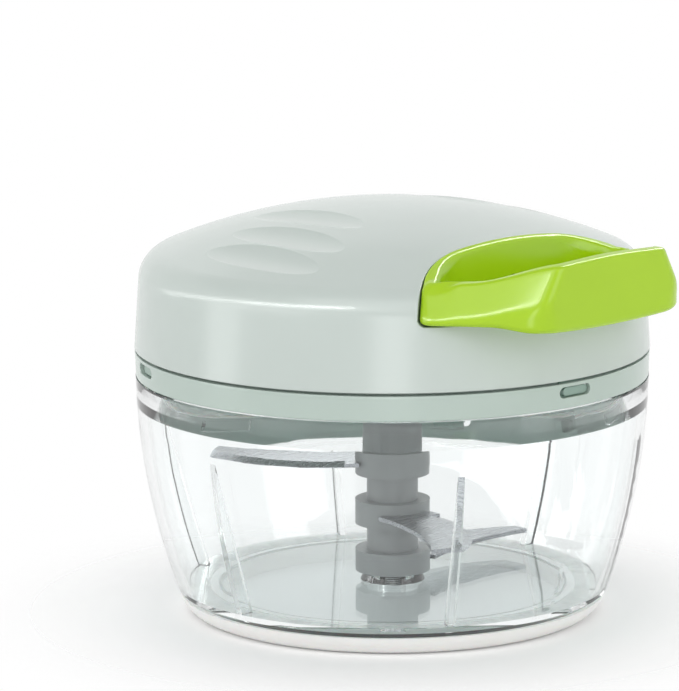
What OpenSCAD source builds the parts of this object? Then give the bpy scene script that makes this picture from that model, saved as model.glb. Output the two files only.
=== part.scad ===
// Pull-string food chopper, in millimetres.
// The origin is on the bowl's axis at the table. +Z is up and +X is the way the handle is pulled.

/* [Bowl] */
// Outer radius of the bowl at its shoulder, under the lid
bowl_r = 61.7; // [58:0.1:68]
// How much narrower the bowl is where its side runs into the floor
bowl_taper = 9.7; // [7:0.1:12]
// Height of the shoulder above the table
bowl_h = 58; // [54:1:75]
// Wall thickness of the bowl
bowl_wall = 2.3; // [1.8:0.1:2.8]
// Thickness of the bowl's floor
bowl_floor = 2.8; // [2.4:0.1:4]
// Height of the neck that goes up into the lid
neck_h = 4.9; // [4.5:0.1:6]
// Number of upright ribs inside the bowl
rib_count = 6; // [3:1:8]
// Depth of a rib at the floor
rib_depth = 3.2; // [2:0.1:3.6]
// Thickness of a rib
rib_t = 1.6; // [1.2:0.1:2.4]

/* [Foot ring] */
// Height of the soft ring under the bowl
foot_h = 4.5; // [3.5:0.1:6]
// Width of the ring's flat sole
foot_sole = 4.4; // [3:0.1:6]

/* [Lid] */
// How far the lid stands out past the bowl's shoulder
lid_over = 0.2; // [0:0.1:0.6]
// Wall thickness of the lid cover
lid_wall = 2.2; // [1.8:0.1:2.6]
// Height of the dome's top above the seam
cover_h = 34.5; // [33:0.5:40]
// Radius of the dome
dome_r = 146.8; // [135:1:170]
// Radius of the round shoulder between the dome and the wall
shoulder_r = 7.7; // [6:0.1:9]
// How much narrower the wall is at the shoulder than at the seam
wall_draft = 1.1; // [0.5:0.1:1.5]
// Thickness of the skirt ring
skirt_t = 1.5; // [1.2:0.1:1.8]
// Thickness of the plate that closes the lid
plate_t = 2; // [1.6:0.1:2.6]
// Radius of a finger groove's hollow
groove_r = 16; // [10:1:20]
// Depth of a finger groove
groove_depth = 1.1; // [0.6:0.1:1.3]

/* [Handle] */
// Depth of the pocket from the lid's edge to its back wall
pocket_depth = 25.4; // [24.4:0.2:26]
// Half width of the pocket's back, to its virtual corner
pocket_half = 24.8; // [23:0.2:26]
// Height of the pocket's floor above the seam
pocket_floor_h = 15; // [14:0.2:15.4]
// How far the grip stands out past the lid
handle_reach = 9.6; // [8:0.2:14]
// Width of the grip's front panel near its bottom
grip_w = 46.4; // [42:0.2:50]
// Width of the front panel at its top
grip_top_w = 36; // [32:1:40]
// Thickness of the grip bar at its bottom
grip_t = 4.2; // [3.4:0.1:5]
// Height of the handle's side rims above its bottom
rim_h = 9.7; // [9:0.1:11]
// How much higher the rim is at the front panel
front_rise = 4.6; // [3:0.2:6]

/* [Cord and reel] */
// Diameter of the pull cord
cord_d = 1.8; // [1.4:0.1:2]
// Gap between the reel and the back wall of the pocket
reel_gap = 4; // [3.4:0.2:6]
// Turns of cord on the drum
cord_turns = 3.1; // [2.6:0.1:3.2]
// Distance between neighbouring turns of cord
cord_pitch = 2.3; // [2.25:0.05:2.4]
// Turns of the recoil spring
spring_turns = 7; // [5:1:9]
// Thickness of the spring strip
strip_t = 0.5; // [0.3:0.05:0.7]
// Width of the spring strip
strip_w = 5; // [4:0.2:5.4]
// Radius of the reel's axle
axle_r = 3; // [2.5:0.1:3.4]

/* [Blades] */
// Gap between the blade tips and the ribs of the bowl
blade_gap = 3.4; // [2.4:0.2:8]
// Thickness of a blade
blade_t = 1; // [0.8:0.1:1.4]
// Height of the lowest blade above the bowl's floor
low_blade_h = 4.6; // [4:0.2:6]
// Height from one blade to the next
blade_step = 12.2; // [10:0.2:12.6]
// Radius of the spindle's upper sleeve
spindle_r = 7; // [6.8:0.1:8]
// Radius of the spindle's blade hubs
hub_r = 9; // [8.6:0.1:10]
// Radius of the pivot pin
pin_r = 2; // [1.6:0.1:2.2]

/* [Fits] */
// Gap between parts that slide past each other
clearance = 0.3; // [0.25:0.05:0.4]
// Radial gap of a running fit
running_fit = 0.05; // [0.02:0.01:0.1]

/* [Hidden] */
$fn = 96;
// Facets on the large arcs of bowl and dome
big_fn = 360;
// Small overlap so that joined shapes share volume
lap = 0.5;
// Height far above the lid
far = 140;
// Gap of a press fit
press_gap = 0.02;
// Thickness of the stiffening ribs in the lid and the reel
stiff_t = 1.6;

// Bowl levels and the circle that its side follows
bowl_foot_r = bowl_r - bowl_taper;
floor_z = foot_h + bowl_floor;
rim_z = bowl_h + neck_h;
side_top_z = bowl_h + 2;
side_low_z = foot_h + 1.5;
side_drop = side_top_z - side_low_z;
side_in = bowl_r - bowl_foot_r;
side_r = (side_drop * side_drop + side_in * side_in) / (2 * side_in);
function side_at(z, inset) = bowl_r - side_r + sqrt(pow(side_r - inset, 2) - pow(z - side_top_z, 2));
neck_r = bowl_r - 3.1;
neck_in_r = neck_r - 2;
boss_r = 7;
boss_h = 2;
rib_top_z = bowl_h - 13.5;

// Bayonet: lugs on the neck, ledges on the skirt that turn under them
lug_count = 3;
lug_angle = 16;
lug_at = 60;
lug_t = 1.8;
lug_top_z = rim_z - 0.5;
ledge_ahead = 20;
ledge_stop_angle = 2;

// Lid levels
lid_r = bowl_r + lid_over;
plate_z = rim_z + 0.5;
plate_top = plate_z + plate_t;
skirt_low_z = bowl_h + clearance;
skirt_top_z = plate_z + 0.75;
seam_z = skirt_top_z + 0.75;
skirt_in_r = lid_r - skirt_t;
spigot_r = lid_r - lid_wall - clearance;
top_z = seam_z + cover_h;
dome_z = top_z - dome_r;
wall_top_r = lid_r - wall_draft;
fillet_at_r = wall_top_r - shoulder_r;
fillet_z = dome_z + sqrt(pow(dome_r - shoulder_r, 2) - fillet_at_r * fillet_at_r);
dome_edge_r = fillet_at_r * dome_r / (dome_r - shoulder_r);
function dome_at(r) = dome_z + sqrt(dome_r * dome_r - r * r);
function skin_at(r) = r < dome_edge_r ? dome_at(r)
    : fillet_z + sqrt(max(0, shoulder_r * shoulder_r - pow(min(r, wall_top_r) - fillet_at_r, 2)));

// Snap hooks of the cover, in windows of the skirt. The hooks stand nearer to one end of their windows.
hook_at = [-2, 120, -117];
window_w = 10;
window_h = 2.6;
window_z = skirt_top_z - 2.1;
hook_t = 1;
hook_in_r = skirt_in_r - hook_t - clearance;
hook_w = 8;
hook_shift = 0.7;
hook_low_z = window_z - 1.6;
hook_root = 3.4;
hook_inset = 1;
hook_angle = 2 * asin(hook_w / 2 / lid_r);
hook_turn = asin(hook_shift / lid_r);

// Gasket groove under the plate
groove_in_r = neck_in_r - 0.6;
groove_out_r = neck_r + 0.3;
gasket_t = 1.2;

// Finger grooves: places along X and Y, repeated on both sides
finger_x = [-6, 0.3, 2.6];
finger_y = [22, 35.2, 46];

// Pocket and handle
pocket_wall = 2;
pocket_corner_r = 1.8;
pocket_back = lid_r - pocket_depth;
pocket_z = seam_z + pocket_floor_h;
pocket_slant = 55;
back_round = 32;
handle_gap = 0.4;
handle_z = pocket_z + 0.5;
front_x = lid_r + handle_reach;
// How far the grip dips under the loop's ends, hangs lower in its middle and arches at its top
front_dip = 1.2;
belly = 0.8;
arch = 0.8;
// Lengths of the loop's slanting ends at the bottom, at the top and inside, and the walls of the loop
end_run = 18.5;
end_top_run = 13.6;
in_run = 10.3;
end_t = 3.5;
back_t = 3.5;
back_top_t = 1.8;
grip_top_t = grip_t - 1.6;
// Radii of the loop in plan: at its ends, at the corners of the grip, and inside
end_round = 3;
end_top_round = 1.8;
low_corner_r = 9;
crease_r = 4.5;
top_corner_r = 3.5;
in_back_round = 20;
in_end_round = 2;
// Round edges of the loop's section, larger at the outside of its ends and dished at the inside
edge_round = 1.5;
top_round = 0.7;
nose_round = 1;
dish_w = 1.5;
dish_h = 3;
// Where the ends of the loop come out of the pocket, and where they start to be dished inside
nose_x = pocket_back + 8;
dish_y = 14;
// Share of the height where the sides start to lean in, which is more on the grip, and that bend's softness
lean_low = 0.18;
lean_more = 0.18;
lean_soft = 0.15;
// Where the grip's corner starts to turn into a crease under that bend, and over what share of the height
crease_from = 0.2;
crease_over = 0.4;

// Reel stack from the plate upwards
drive_z = plate_top + 1.8;
drive_t = 1.5;
chamber_z = drive_z + drive_t;
chamber_h = strip_w + 1;
reel_r = pocket_back - pocket_wall - reel_gap;
chamber_r = reel_r - 4;
web_t = 1.3;
// The cord's line is drawn in straight steps, and the drum stays clear of the middle of each step
cord_r = cord_d / 2;
turn_steps = 24;
wind_r = chamber_r - 6.4;
drum_r = wind_r * cos(180 / turn_steps) - cord_r - running_fit;
wind_z = chamber_z + chamber_h + web_t;
wind_h = cord_turns * cord_pitch + cord_d + 0.3;
flange_t = 1.4;
flange_r = drum_r + 8;
reel_top = wind_z + wind_h + flange_t;
cord_z = wind_z + wind_h - cord_r - 0.15;
washer_t = 0.8;
washer_z = reel_top + 0.1;
boss_z = washer_z + washer_t + 0.1;
axle_low_z = chamber_z + clearance;
axle_top_z = top_z - 4;
arbor_r = axle_r + 3;
axle_boss_r = axle_r + 3.5;

// Drive through the lid base
shaft_r = 5.4;
bush_r = shaft_r + 1.8;
collar_r = bush_r + 2.3;
bush_flange_r = bush_r + 1.8;
bush_flange_t = 0.8;
collar_z = plate_z - 3;
seal_h = 1.4;
seal_r = bush_r + 1;
tang_r = shaft_r - 0.7;
tang_t = 3.6;
tang_z = collar_z - 10;
screw_count = 3;
screw_at_r = reel_r - 2;
screw_r = 1.1;
screw_head_r = 1.9;
screw_head_t = 1.3;
screw_len = 6;
screw_slot_l = 2.4;
screw_slot_w = 0.5;

// Eyelet in the back wall of the pocket
eyelet_x = pocket_back - pocket_wall;
eyelet_r = cord_r + 2;
eyelet_bore_r = cord_r + 0.4;
eyelet_flange_r = eyelet_r + 1.2;
eyelet_flange_t = 1;

// Spindle and blades
spindle_low_z = floor_z + boss_h + clearance;
spindle_top_z = collar_z - 0.9;
shank_r = spindle_r - 0.8;
socket_r = tang_r + clearance;
socket_z = tang_z - 1.5;
dog_r = 2.7;
dog_angle = 40;
pin_low_z = foot_h + 1.2;
pin_top_z = spindle_low_z + 16;
hub_h = 6;
blade_z = [for (i = [0 : 2]) floor_z + low_blade_h + i * blade_step];
blade_angle = [100, -20, -140];
root_from = pin_r + 1.2;
root_w = 11;
root_shift = 0.6;
root_gap = 0.02;
edge_t = 0.15;
blade_r = side_at(floor_z + low_blade_h, bowl_wall) - rib_depth - blade_gap;
edge_r = 38;
edge_at = [18, 8 - edge_r];
back_r = 60;
back_at = [20, -6 - back_r];
bevel_w = 3;

// Rounded corner at p1 on the way from p0 to p2, as n + 1 points
function unit(v) = v / norm(v);
function corner(p0, p1, p2, r, n) =
    let (a = unit(p0 - p1), b = unit(p2 - p1))
    let (half = acos(a * b) / 2)
    let (c = p1 + unit(a + b) * r / sin(half))
    let (s = p1 + a * r / tan(half) - c, e = p1 + b * r / tan(half) - c)
    let (turn = 180 - 2 * half)
    [for (i = [0 : n]) c + (s * sin(turn * (1 - i / n)) + e * sin(turn * i / n)) / sin(turn)];

// Half of the pocket's edge, from the middle of its back wall outwards
function slant_end(back, half, run) =
    [back + run * cos(pocket_slant), half + run * sin(pocket_slant)];
function mirrored(pts) = [for (i = [len(pts) - 1 : -1 : 0]) [pts[i].x, -pts[i].y]];
function pocket_edge(grow) =
    let (back = pocket_back - grow)
    let (half = pocket_half + grow * tan((90 - pocket_slant) / 2))
    let (outer = slant_end(back, half, far))
    let (bend = corner([back, 0], [back, half], outer, back_round + grow, 8))
    concat(mirrored(concat(bend, [outer])), bend, [outer]);

module pocket_space(grow, low) {
    translate([0, 0, low]) linear_extrude(far - low) polygon(pocket_edge(grow));
}

// Round corner between the pocket's floor and one of its straight sides, from the end of the back wall's bend
module pocket_corner() {
    bend_run = back_round * tan((90 - pocket_slant) / 2) + lap;
    reach = pocket_corner_r * 0.75;
    translate([pocket_back, pocket_half, pocket_z]) rotate(pocket_slant) difference() {
        translate([bend_run, -reach, -lap]) cube([far, reach + lap, reach + lap]);
        translate([0, -pocket_corner_r, pocket_corner_r]) rotate([0, 90, 0])
            cylinder(h = 2 * far, r = pocket_corner_r);
    }
}

// Lid outline drawn in from the outside by a wall thickness
module lid_profile(inset, low) {
    r_dome = dome_r - inset;
    lean = atan2(fillet_at_r, fillet_z - dome_z);
    intersection() {
        union() {
            intersection() {
                translate([0, dome_z]) circle(r_dome, $fn = big_fn);
                polygon([[0, dome_z], [0, far], [(far - dome_z) * tan(lean), far]]);
            }
            translate([fillet_at_r, fillet_z]) circle(shoulder_r - inset);
            polygon([[0, low], [lid_r - inset, low], [lid_r - inset, seam_z],
                [wall_top_r - inset, fillet_z], [fillet_at_r, fillet_z]]);
        }
        translate([0, low]) square([lid_r, far]);
    }
}

// Part of a ring between two radii, centred on an angle
module ring_part(r_in, r_out, low, h, angle, at) {
    rotate(at - angle / 2) rotate_extrude(angle = angle)
        translate([r_in, low]) square([r_out - r_in, h]);
}

// Round-ended block that points outwards through the skirt
module window_block(w, h, from, to, at) {
    rotate(at) translate([from, 0, window_z]) rotate([90, 0, 90]) linear_extrude(to - from) {
        square([w - h, h], center = true);
        for (s = [-1, 1]) translate([s * (w - h) / 2, 0]) circle(h / 2, $fn = 32);
    }
}

module finger_groove(x, y) {
    lift = dome_r + groove_r - groove_depth;
    translate([0, 0, dome_z]) rotate([-asin(y / dome_r), 0, 0]) rotate([0, asin(x / dome_r), 0])
        translate([0, 0, lift]) rotate([0, 90, 0]) cylinder(h = 60, r = groove_r, center = true);
}

module lid_cover() {
    rib_angle = 60;
    rib_reach = 24;
    color([0.8, 0.83, 0.81]) {
        difference() {
            rotate_extrude() lid_profile(0, seam_z);
            difference() {
                rotate_extrude() lid_profile(lid_wall, seam_z - 1);
                pocket_space(pocket_wall, pocket_z - pocket_wall);
                translate([0, 0, boss_z]) cylinder(h = far, r = axle_boss_r);
                for (a = [rib_angle : rib_angle : 360]) rotate(a + rib_angle / 2)
                    translate([0, -stiff_t / 2, boss_z + 1.5]) cube([rib_reach, stiff_t, far]);
            }
            difference() {
                pocket_space(0, pocket_z);
                for (s = [0, 1]) mirror([0, s, 0]) pocket_corner();
            }
            for (i = [0 : 2], s = [-1, 1]) finger_groove(finger_x[i], s * finger_y[i]);
            translate([0, 0, boss_z - lap]) cylinder(h = axle_top_z - boss_z + lap, r = axle_r);
            translate([eyelet_x - lap, 0, cord_z]) rotate([0, 90, 0])
                cylinder(h = pocket_wall + 2 * lap, r = eyelet_r + running_fit);
        }
        for (at = hook_at) {
            ring_part(hook_in_r, hook_in_r + hook_t, hook_low_z, seam_z + hook_root - hook_low_z,
                hook_angle, at + hook_turn);
            window_block(hook_w, window_h - 2 * clearance, hook_in_r + hook_t - lap, lid_r - hook_inset,
                at + hook_turn);
        }
    }
}

module lid_base() {
    slot_angle = 2 * asin(window_w / 2 / lid_r) + 0.6;
    color([0.69, 0.75, 0.71]) {
        difference() {
            union() {
                translate([0, 0, plate_z]) cylinder(h = skirt_top_z - plate_z, r = lid_r - 0.1);
                translate([0, 0, plate_z]) cylinder(h = plate_t, r = spigot_r);
                translate([0, 0, collar_z]) cylinder(h = plate_z - collar_z + lap, r = collar_r);
                rotate_extrude() polygon([[skirt_in_r, skirt_low_z], [lid_r - 0.3, skirt_low_z],
                    [lid_r - 0.1, plate_z + lap], [skirt_in_r, plate_z + lap]]);
            }
            translate([0, 0, plate_z - lap]) difference() {
                cylinder(h = gasket_t - 0.4 + lap, r = groove_out_r);
                cylinder(h = far, r = groove_in_r);
            }
            cylinder(h = far, r = bush_r);
            translate([0, 0, collar_z - lap]) cylinder(h = seal_h + lap, r = seal_r);
            for (at = hook_at) {
                window_block(window_w, window_h, hook_in_r - lap, lid_r + 1, at);
                ring_part(hook_in_r - clearance / 2, skirt_in_r + 0.05, window_z - 2, far - window_z,
                    slot_angle, at);
            }
        }
        for (i = [0 : lug_count - 1]) {
            at = lug_at + i * 360 / lug_count;
            ledge_h = lug_top_z - lug_t - clearance - skirt_low_z;
            ring_part(neck_r + clearance, skirt_in_r + lap, skirt_low_z, ledge_h, lug_angle,
                at + ledge_ahead);
            ring_part(neck_r + clearance, skirt_in_r + lap, skirt_low_z, plate_z - skirt_low_z - 1,
                ledge_stop_angle, at + ledge_ahead + lug_angle / 2 + ledge_stop_angle / 2);
        }
    }
}

module lid_gasket() {
    color([0.92, 0.92, 0.9]) rotate_extrude() translate([groove_in_r + 0.15, rim_z + 0.05])
        square([groove_out_r - groove_in_r - 0.3, gasket_t]);
}

module reel_axle() {
    color([0.75, 0.76, 0.78]) {
        translate([0, 0, axle_low_z]) cylinder(h = axle_top_z - axle_low_z, r = axle_r - press_gap);
        translate([0, 0, axle_low_z]) cylinder(h = chamber_h - 2 * clearance, r = arbor_r);
    }
}

module thrust_washer() {
    color([0.9, 0.88, 0.8]) translate([0, 0, washer_z]) difference() {
        cylinder(h = washer_t, r = axle_boss_r);
        translate([0, 0, -lap]) cylinder(h = washer_t + 2 * lap, r = axle_r + 0.1);
    }
}

module cord_reel() {
    hub_wall = 4;
    anchor_l = 2.4;
    color([0.93, 0.93, 0.91]) {
        difference() {
            union() {
                translate([0, 0, chamber_z]) cylinder(h = chamber_h + web_t, r = reel_r);
                translate([0, 0, chamber_z + chamber_h])
                    cylinder(h = reel_top - chamber_z - chamber_h, r = drum_r);
                translate([0, 0, reel_top - flange_t]) cylinder(h = flange_t, r = flange_r);
            }
            translate([0, 0, chamber_z - lap]) cylinder(h = chamber_h + lap, r = chamber_r);
            translate([0, 0, wind_z + 1.5]) difference() {
                cylinder(h = far, r = drum_r - 2.5);
                cylinder(h = far, r = axle_r + hub_wall);
                for (a = [0 : 60 : 300]) rotate(a) translate([0, -stiff_t / 2, 0])
                    cube([drum_r, stiff_t, far]);
            }
            translate([0, 0, chamber_z]) cylinder(h = far, r = axle_r + running_fit);
            for (i = [0 : screw_count - 1]) rotate(i * 360 / screw_count)
                translate([screw_at_r, 0, chamber_z - lap]) cylinder(h = screw_len + lap, r = screw_r);
        }
        rotate(cord_start) translate([drum_r - lap, -cord_d - anchor_l - clearance, wind_z - lap])
            cube([cord_d + lap, anchor_l, cord_d + 2 * lap]);
    }
}

// Flat spiral strip from the arbor out to the chamber wall
spring_steps = 24;
spring_in_r = arbor_r + 0.1;
spring_out_r = chamber_r - strip_t - 0.2;
spring_pitch = (spring_out_r - spring_in_r) / spring_turns;
function spiral(add) = [for (i = [0 : spring_turns * spring_steps])
    let (a = i * 360 / spring_steps, r = spring_in_r + spring_pitch * a / 360 + add)
    [r * cos(a), r * sin(a)]];
function backwards(pts) = [for (i = [len(pts) - 1 : -1 : 0]) pts[i]];

module recoil_spring() {
    echo(spring_gap = spring_pitch - strip_t);
    color([0.55, 0.57, 0.6]) translate([0, 0, chamber_z + (chamber_h - strip_w) / 2])
        linear_extrude(strip_w) polygon(concat(spiral(0), backwards(spiral(strip_t))));
}

module drive_plate() {
    color([0.88, 0.88, 0.86]) difference() {
        union() {
            translate([0, 0, drive_z]) cylinder(h = drive_t, r = reel_r);
            translate([0, 0, plate_top + bush_flange_t + 0.2])
                cylinder(h = drive_z + lap - plate_top - bush_flange_t - 0.2, r = bush_r);
            translate([0, 0, collar_z]) cylinder(h = drive_z + lap - collar_z, r = shaft_r);
            intersection() {
                translate([0, 0, tang_z]) cylinder(h = collar_z + lap - tang_z, r = tang_r);
                translate([-far / 2, -tang_t / 2, 0]) cube([far, tang_t, far]);
            }
        }
        for (i = [0 : screw_count - 1]) rotate(i * 360 / screw_count)
            translate([screw_at_r, 0, drive_z - lap]) cylinder(h = drive_t + 2 * lap, r = screw_r + 0.1);
    }
}

module drive_screws() {
    color([0.7, 0.71, 0.73]) for (i = [0 : screw_count - 1]) rotate(i * 360 / screw_count)
        translate([screw_at_r, 0, drive_z]) {
            difference() {
                translate([0, 0, -screw_head_t]) cylinder(h = screw_head_t, r = screw_head_r);
                for (a = [0, 90]) rotate(a) translate([0, 0, -screw_head_t])
                    cube([screw_slot_l, screw_slot_w, screw_head_t], center = true);
            }
            cylinder(h = drive_t + screw_len - lap, r = screw_r - press_gap);
        }
}

module drive_bush() {
    bush_low_z = collar_z + seal_h;
    color([0.95, 0.94, 0.88]) difference() {
        union() {
            translate([0, 0, bush_low_z]) cylinder(h = plate_top - bush_low_z, r = bush_r - press_gap);
            translate([0, 0, plate_top]) cylinder(h = bush_flange_t, r = bush_flange_r);
        }
        cylinder(h = far, r = shaft_r + running_fit);
    }
}

module drive_seal() {
    color([0.9, 0.9, 0.88]) rotate_extrude() polygon([
        [shaft_r + 0.1, collar_z], [shaft_r + 0.7, collar_z], [shaft_r + 1, collar_z + 0.7],
        [seal_r - 0.8, collar_z + 0.7], [seal_r - 0.8, collar_z + 0.1], [seal_r - 0.05, collar_z + 0.1],
        [seal_r - 0.05, collar_z + seal_h], [shaft_r + 0.5, collar_z + seal_h]]);
}

module cord_eyelet() {
    color([0.8, 0.8, 0.78]) translate([eyelet_x, 0, cord_z]) rotate([0, 90, 0]) difference() {
        union() {
            cylinder(h = pocket_wall, r = eyelet_r);
            translate([0, 0, -eyelet_flange_t]) cylinder(h = eyelet_flange_t, r = eyelet_flange_r);
        }
        translate([0, 0, -far / 2]) cylinder(h = far, r = eyelet_bore_r);
        translate([0, 0, -eyelet_flange_t - press_gap])
            cylinder(h = 1.5, r1 = eyelet_bore_r + 1, r2 = eyelet_bore_r);
    }
}

// Cord: turns on the drum, a straight run to the eyelet, and on to the knot
bend_x = eyelet_x - eyelet_flange_t - 0.6;
leave = -acos(wind_r / bend_x);
wind_steps = floor(cord_turns * turn_steps);
cord_start = leave - wind_steps * 360 / turn_steps;
bend_r = 4;
knot_x = pocket_back + handle_gap + 1.4;
knot_r = cord_d * 1.2;
winding = [for (i = [0 : wind_steps])
    let (a = leave - i * 360 / turn_steps)
    [wind_r * cos(a), wind_r * sin(a), cord_z - cord_pitch * i / turn_steps]];
bend = [for (p = corner([wind_r * cos(leave), wind_r * sin(leave)], [bend_x, 0], [knot_x, 0], bend_r, 5))
    [p.x, p.y, cord_z]];
cord_end = winding[len(winding) - 1];
cord_tail = cord_end + cord_d * [sin(cord_start), -cos(cord_start), 0];
cord_path = concat([[knot_x, 0, cord_z]], backwards(bend), winding, [cord_tail]);

// Tube of six sides along a path that stays nearly level
function heading(p, i) = unit(p[min(i + 1, len(p) - 1)] - p[max(i - 1, 0)]);
function tube_ring(p, i, r, sides) =
    let (t = heading(p, i), across = unit(cross([0, 0, 1], t)), up = cross(t, across))
    [for (k = [0 : sides - 1]) p[i] + r * (across * cos(k * 360 / sides) + up * sin(k * 360 / sides))];
module tube(p, r, sides) {
    n = len(p);
    pts = [for (i = [0 : n - 1]) each tube_ring(p, i, r, sides)];
    walls = [for (i = [0 : n - 2], k = [0 : sides - 1])
        let (a = i * sides + k, b = i * sides + (k + 1) % sides)
        each [[a, b, b + sides], [a, b + sides, a + sides]]];
    ends = [[for (k = [sides - 1 : -1 : 0]) k], [for (k = [0 : sides - 1]) (n - 1) * sides + k]];
    polyhedron(pts, concat(backwards_faces(walls), backwards_faces(ends)));
}
function backwards_faces(faces) = [for (f = faces) backwards(f)];

module pull_cord() {
    echo(cord_gap = min([for (i = [0 : len(winding) - 1], j = [i + turn_steps / 2 : 1 : len(winding) - 1])
        norm(winding[i] - winding[j])]) - cord_d);
    color([0.95, 0.95, 0.93]) tube(cord_path, cord_r, 6);
}

module cord_knot() {
    color([0.95, 0.95, 0.93]) translate([knot_x, 0, cord_z]) rotate([0, 90, 0]) rotate_extrude()
        intersection() {
            union() {
                square([knot_r - cord_r, cord_d]);
                translate([knot_r - cord_r, cord_r]) circle(cord_r, $fn = 32);
            }
            square([far, far]);
        }
}

// Handle loop: plan outlines at the bottom and top of its outer and inner sides, and one more for the crease
function handle_plan(back, half, slant, front, front_half, r_back, r_end, r_front) =
    let (b = [back, half], e = slant_end(back, half, slant), f = [front, front_half])
    let (m = [front, 0])
    let (back_mid = [for (i = [0 : 2]) [back, i * half / 6]])
    let (bend_b = corner([back, 0], b, e, r_back, 6))
    let (bend_e = corner(b, e, f, r_end, 5))
    let (bend_f = corner(e, f, m, r_front, 5))
    let (side_a = bend_e[5], side_b = bend_f[0])
    let (side = [for (i = [1 : 5]) side_a + (side_b - side_a) * i / 6])
    let (panel = [for (i = [1 : 4]) bend_f[5] + (m - bend_f[5]) * i / 4])
    concat(back_mid, bend_b, bend_e, side, bend_f, panel);
function loop(half) = concat(half, [for (i = [len(half) - 2 : -1 : 1]) [half[i].x, -half[i].y]]);
handle_half = pocket_half - handle_gap * tan((90 - pocket_slant) / 2);
function outer_plan(w, run, r_end, r_front) = loop(handle_plan(pocket_back + handle_gap, handle_half, run,
    front_x, w / 2, back_round, r_end, r_front));
function inner_plan(w, r_front, wall, bar) = loop(handle_plan(pocket_back + handle_gap + wall,
    handle_half - end_t / cos(pocket_slant) + wall * tan(pocket_slant),
    in_run + (back_t - wall) / cos(pocket_slant),
    front_x - bar, w / 2 - bar / 2, in_back_round, in_end_round, r_front));
function ease(t) = let (u = min(1, max(0, t))) u * u * (3 - 2 * u);

// Heights of the loop: its bottom, and the inner and outer edges of its top, which follow the lid's skin
function handle_low(p) = handle_z - front_dip * ease((p.x - lid_r + 1) / handle_reach)
    - belly * max(0, 1 - pow(2 * p.y / grip_w, 2)) * ease((p.x - lid_r) / handle_reach);
function bar_top(p) = handle_z + rim_h + front_rise * ease((p.x - lid_r + 9) / (handle_reach + 8))
    + arch * ease(1 - abs(p.y) * 2 / grip_w) * ease((p.x - lid_r) / handle_reach);
function high_in(p) = max(bar_top(p), skin_at(min(norm(p), fillet_at_r)) + 0.2);
function high_out(p, inner) = let (to_bar = ease((p.x - nose_x) / 8))
    (skin_at(norm(p)) + 0.5) * (1 - to_bar) + (inner - 0.4) * to_bar;

// Section of the loop at one station: a bar with round edges, upright at first and then leaning in
function nose_at(p) = top_round
    + nose_round * ease((p.x - nose_x + 3.5) / 3) * (1 - ease((p.x - nose_x - 2) / 6));
function dish_at(p) = ease((abs(p.y) - dish_y) / 12) * (1 - ease((p.x - nose_x - 1) / 3));
function lean_from(p) = lean_low + lean_more * ease((p.x - nose_x - 7.5) / 18);
function lean_at(g, begin) = g < begin - lean_soft ? 0
    : g < begin + lean_soft ? pow(g - begin + lean_soft, 2) / (4 * lean_soft * (1 - begin))
    : (g - begin) / (1 - begin);
function arc(cx, cy, rx, ry, from, n) =
    [for (i = [0 : n]) [cx + rx * cos(from + i * 90 / n), cy + ry * sin(from + i * 90 / n)]];
function bar_outline(wide, top_wide, tall, nose, dish, begin) =
    let (fr = edge_round / wide, gr = edge_round / tall, fo = min(nose / top_wide, 0.4), go = nose / tall)
    let (fi = min((top_round + dish_w * dish) / top_wide, 0.6), gi = (top_round + dish_h * dish) / tall)
    let (lip = [for (i = [0 : 2]) gr + (begin + lean_soft - gr) * (i + 1) / 3])
    concat(arc(1 - fr, gr, fr, gr, -90, 2), [for (g = lip) [1, g]], arc(1 - fo, 1 - go, fo, go, 0, 2),
        arc(fi, 1 - gi, fi, gi, 90, 3), [[0, lip[2]], [0, lip[0]]], arc(fr, gr, fr, gr, 180, 2));
function bar_section(ib, ob, oc, it, ot) =
    let (low = handle_low(ob), inner = high_in(it), outer = high_out(ot, inner), begin = lean_from(ob))
    [for (q = bar_outline(norm(ob - ib), norm(ot - it), inner - low, nose_at(ot), dish_at(it), begin))
        let (edge = ob + (oc - ob) * ease((q[1] - begin + crease_from) / crease_over))
        let (p0 = ib + (edge - ib) * q[0], p1 = it + (ot - it) * q[0])
        let (p = p0 + (p1 - p0) * lean_at(q[1], begin))
        [p.x, p.y, low + (inner + (outer - inner) * q[0] - low) * q[1]]];

module pull_handle() {
    ob = outer_plan(grip_w, end_run, end_round, low_corner_r);
    oc = outer_plan(grip_w, end_run, end_round, crease_r);
    ot = outer_plan(grip_top_w, end_top_run, end_top_round, top_corner_r);
    ib = inner_plan(grip_w, low_corner_r - 2, back_t, grip_t);
    it = inner_plan(grip_top_w, top_corner_r - 1, back_top_t, grip_top_t);
    n = len(ob);
    m = len(bar_section(ib[0], ob[0], oc[0], it[0], ot[0]));
    pts = [for (i = [0 : n - 1]) each bar_section(ib[i], ob[i], oc[i], it[i], ot[i])];
    faces = [for (i = [0 : n - 1], k = [0 : m - 1])
        let (i2 = (i + 1) % n, k2 = (k + 1) % m)
        each [[i * m + k, i * m + k2, i2 * m + k2], [i * m + k, i2 * m + k2, i2 * m + k]]];
    color([0.68, 0.83, 0.24]) difference() {
        polyhedron(pts, faces);
        translate([pocket_back, 0, cord_z]) rotate([0, 90, 0])
            cylinder(h = back_t * 2, r = cord_r + clearance);
        translate([knot_x - running_fit, 0, cord_z]) rotate([0, 90, 0])
            cylinder(h = back_t, r = knot_r + clearance);
    }
}

// Blade outline: curved cutting edge, curved back, round tip and a straight root
module blade_plan() {
    intersection() {
        circle(blade_r);
        translate([hub_r - 1.5, -far / 2]) square([far, far]);
        difference() {
            translate(edge_at) circle(edge_r, $fn = big_fn);
            translate(back_at) circle(back_r, $fn = big_fn);
        }
    }
    translate([root_from, -root_w / 2 - root_shift]) square([hub_r - root_from + 1, root_w]);
}

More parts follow.
